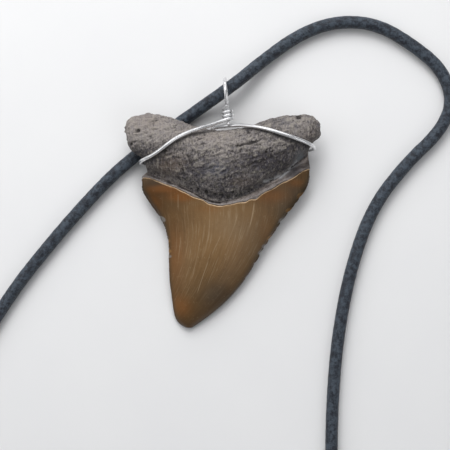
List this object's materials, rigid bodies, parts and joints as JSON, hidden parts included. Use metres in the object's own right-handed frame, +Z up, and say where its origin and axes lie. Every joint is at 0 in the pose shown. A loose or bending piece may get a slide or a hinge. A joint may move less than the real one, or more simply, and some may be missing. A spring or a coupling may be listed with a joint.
{
  "type": "shark tooth necklace",
  "caption": "Fossil shark tooth pendant wrapped in wire with a coiled bail, on a round cord closed by a plain barrel clasp, lying flat.",
  "frame": {"origin": "middle of the pendant's plan, on the surface that it lies on", "axes": "+Y from the tooth's tip to the bail, +Z up from the surface, through the tooth's display side"},
  "size_m": [0.123, 0.1723, 0.0118],
  "materials": {
    "root_stone": "matt, porous",
    "bourlette_stone": "matt, pitted",
    "enamel": "satin gloss",
    "wire_metal": "bright",
    "bail_metal": "bright",
    "cord_leather": "fine grain, slight sheen",
    "clasp_metal": "satin"
  },
  "bodies": {
    "root": {"tooth_root": "root_stone", "tooth_bourlette": "bourlette_stone", "tooth_crown": "enamel", "wrap_wire": "wire_metal", "bail": "bail_metal", "cord": "cord_leather", "clasp": "clasp_metal"}
  },
  "joints": []
}
